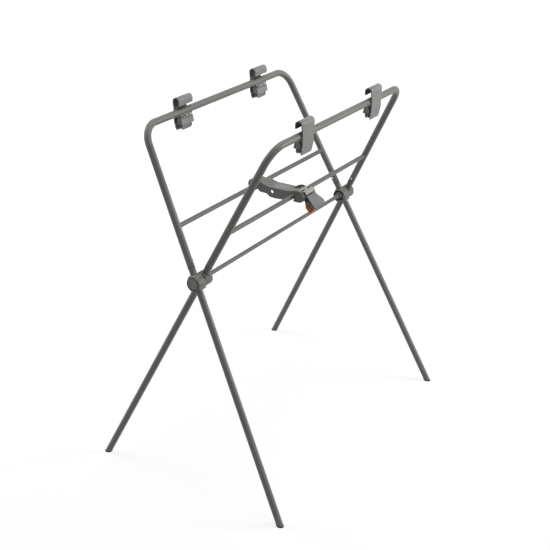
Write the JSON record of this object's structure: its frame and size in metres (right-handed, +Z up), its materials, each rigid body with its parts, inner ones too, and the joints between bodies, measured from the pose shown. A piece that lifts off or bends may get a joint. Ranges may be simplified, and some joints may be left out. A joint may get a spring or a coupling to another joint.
{
  "type": "baby bath stand",
  "caption": "Folding tube stand for a baby bath, with rim hooks on both rails and a sprung lock strut",
  "frame": {"origin": "middle of the floor area between the four feet, on the floor", "axes": "+X from frame A's rail to frame B's rail, +Y along the axle from the near end to the far end, +Z up"},
  "size_m": [0.5868, 0.8892, 0.953],
  "materials": {
    "tube_coating": "satin powder coat",
    "bar_coating": "satin powder coat",
    "foot_rubber": "matt",
    "hub_plastic": "fine moulded grain",
    "cap_plastic": "fine moulded grain",
    "clip_plastic": "satin moulded",
    "strut_plastic": "fine moulded grain",
    "panel_plastic": "satin moulded",
    "cover_plastic": "satin moulded",
    "grip_soft": "soft matt",
    "trigger_plastic": "satin moulded",
    "bush_plastic": "satin",
    "plated_steel": "zinc plated"
  },
  "bodies": {
    "frame_a": {"upper_frame_a": "tube_coating", "crossbar_a": "bar_coating", "leg_a_near": "tube_coating", "leg_a_far": "tube_coating", "foot_a_near": "foot_rubber", "foot_a_far": "foot_rubber", "snap_spring_a_near": "plated_steel", "snap_spring_a_far": "plated_steel", "hub_half_a_near": "hub_plastic", "hub_half_a_far": "hub_plastic", "hub_screw_a": "plated_steel", "hub_cap_near": "cap_plastic", "axle_tube": "bar_coating", "pivot_bolt_near": "plated_steel", "pivot_bolt_far": "plated_steel", "thrust_washer_near": "plated_steel", "thrust_washer_far": "plated_steel", "clip_hook_a_near": "clip_plastic", "clip_hook_a_far": "clip_plastic", "clip_jaw_a_near": "clip_plastic", "clip_jaw_a_far": "clip_plastic", "clip_screws_a": "plated_steel"},
    "frame_b": {"upper_frame_b": "tube_coating", "crossbar_b": "bar_coating", "leg_b_near": "tube_coating", "leg_b_far": "tube_coating", "foot_b_near": "foot_rubber", "foot_b_far": "foot_rubber", "snap_spring_b_near": "plated_steel", "snap_spring_b_far": "plated_steel", "hub_half_b_near": "hub_plastic", "hub_half_b_far": "hub_plastic", "hub_screw_b": "plated_steel", "hub_cap_far": "cap_plastic", "pivot_bush_near": "bush_plastic", "pivot_bush_far": "bush_plastic", "clip_hook_b_near": "clip_plastic", "clip_hook_b_far": "clip_plastic", "clip_jaw_b_near": "clip_plastic", "clip_jaw_b_far": "clip_plastic", "clip_screws_b": "plated_steel"},
    "strut": {"strut_beam": "strut_plastic", "strut_bush_near": "bush_plastic", "strut_bush_far": "bush_plastic", "strut_panel": "panel_plastic", "latch_cover": "cover_plastic", "grip_pad": "grip_soft", "trigger_spring": "plated_steel"},
    "trigger_lever": {"latch_pin": "plated_steel", "claw_near": "strut_plastic", "claw_far": "strut_plastic", "trigger": "trigger_plastic"},
    "snap_button_a_near": {"snap_button_a_near": "plated_steel"},
    "snap_button_a_far": {"snap_button_a_far": "plated_steel"},
    "snap_button_b_near": {"snap_button_b_near": "plated_steel"},
    "snap_button_b_far": {"snap_button_b_far": "plated_steel"}
  },
  "joints": [
    {"name": "fold", "type": "hinge", "parent": "frame_a", "child": "frame_b", "pos_m": [0, 0, 0.56573], "axis": [0, -1, 0], "range_deg": [0, 42]},
    {"name": "strut_lift", "type": "hinge", "parent": "frame_a", "child": "strut", "pos_m": [-0.0626, -0.005, 0.69073], "axis": [0, -1, 0], "range_deg": [0, 116.61]},
    {"name": "trigger_squeeze", "type": "hinge", "parent": "strut", "child": "trigger_lever", "pos_m": [0.0816, -0.005, 0.69273], "axis": [0, -1, 0], "range_deg": [0, 6], "stiffness_Nm_per_rad": 0.6, "springref_deg": -20.05, "deforming": ["trigger_spring"]},
    {"name": "button_a_near", "type": "slide", "parent": "frame_a", "child": "snap_button_a_near", "axis": [-0.0441, -0.9951, 0.088], "range_m": [0, 0.003], "stiffness_N_per_m": 300, "springref_m": -0.002, "deforming": ["snap_spring_a_near"]},
    {"name": "button_a_far", "type": "slide", "parent": "frame_a", "child": "snap_button_a_far", "axis": [-0.0441, 0.9951, 0.088], "range_m": [0, 0.003], "stiffness_N_per_m": 300, "springref_m": -0.002, "deforming": ["snap_spring_a_far"]},
    {"name": "button_b_near", "type": "slide", "parent": "frame_b", "child": "snap_button_b_near", "axis": [0.0441, -0.9951, 0.088], "range_m": [0, 0.003], "stiffness_N_per_m": 300, "springref_m": -0.002, "deforming": ["snap_spring_b_near"]},
    {"name": "button_b_far", "type": "slide", "parent": "frame_b", "child": "snap_button_b_far", "axis": [0.0441, 0.9951, 0.088], "range_m": [0, 0.003], "stiffness_N_per_m": 300, "springref_m": -0.002, "deforming": ["snap_spring_b_far"]}
  ],
  "couplings": [
    {"joint": "strut_lift", "follows": "fold", "ratio": 2.7762}
  ]
}
